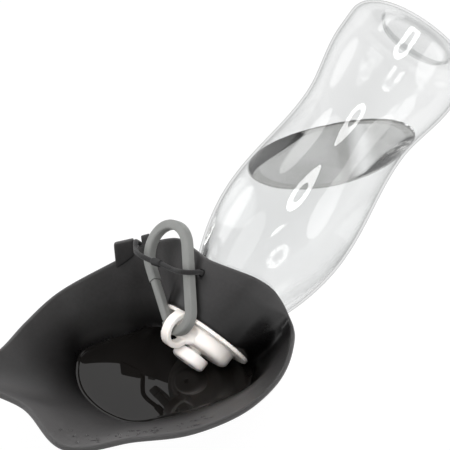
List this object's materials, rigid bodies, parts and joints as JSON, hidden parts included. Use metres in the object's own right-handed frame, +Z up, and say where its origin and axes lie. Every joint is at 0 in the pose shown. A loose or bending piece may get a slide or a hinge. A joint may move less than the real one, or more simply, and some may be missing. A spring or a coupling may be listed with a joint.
{
  "type": "dog travel water bottle",
  "caption": "Clear waisted bottle tilted into a flexible silicone drinking bowl, held by a flanged cap with a push-pull spout, a hanging eye, a carabiner and an elastic loop.",
  "frame": {"origin": "a point on the underside of the bowl's flat foot, below its front half", "axes": "+X along the bottle's lean, in plan; +Y across the bowl, to the side with the ear; +Z up from the table"},
  "size_m": [0.2775, 0.1365, 0.1669],
  "materials": {
    "silicone": "satin",
    "clear_bottle": "clear gloss",
    "cap_plastic": "satin gloss",
    "spout_plastic": "soft satin",
    "clip_plastic": "satin",
    "elastic": "matt",
    "crimp": "matt",
    "seal_rubber": "matt"
  },
  "bodies": {
    "bowl_and_cap": {"bowl": "silicone", "cap": "cap_plastic", "elastic_loop": "elastic", "loop_sleeve": "crimp"},
    "gasket": {"neck_gasket": "seal_rubber"},
    "bottle": {"bottle": "clear_bottle"},
    "spout": {"spout": "spout_plastic", "spout_seal": "seal_rubber"},
    "carabiner": {"carabiner_body": "clip_plastic"},
    "gate": {"carabiner_gate": "clip_plastic"}
  },
  "joints": [
    {"name": "gasket_lift", "type": "slide", "parent": "bowl_and_cap", "child": "gasket", "axis": [0.7716, 0, 0.6361], "range_m": [0, 0.01]},
    {"name": "bottle_turn", "type": "hinge", "parent": "gasket", "child": "bottle", "pos_m": [0.045, 0, 0.031], "axis": [0.7716, 0, 0.6361], "range_deg": [0, 900]},
    {"name": "spout_push", "type": "slide", "parent": "bowl_and_cap", "child": "spout", "axis": [0.7716, 0, 0.6361], "range_m": [0, 0.0015]},
    {"name": "carabiner_swing", "type": "hinge", "parent": "bowl_and_cap", "child": "carabiner", "pos_m": [0.01997, -0.00071, 0.03653], "axis": [0.0222, -0.9994, -0.0269], "range_deg": [0, 25], "deforming": ["elastic_loop", "loop_sleeve"]},
    {"name": "gate_press", "type": "hinge", "parent": "carabiner", "child": "gate", "pos_m": [0.0193, 0.00694, 0.03969], "axis": [0.8721, -0.0839, -0.4821], "range_deg": [0, 14], "stiffness_Nm_per_rad": 0.02}
  ],
  "couplings": [
    {"joint": "gasket_lift", "follows": "bottle_turn", "m_per_rad": 0.00063662}
  ]
}
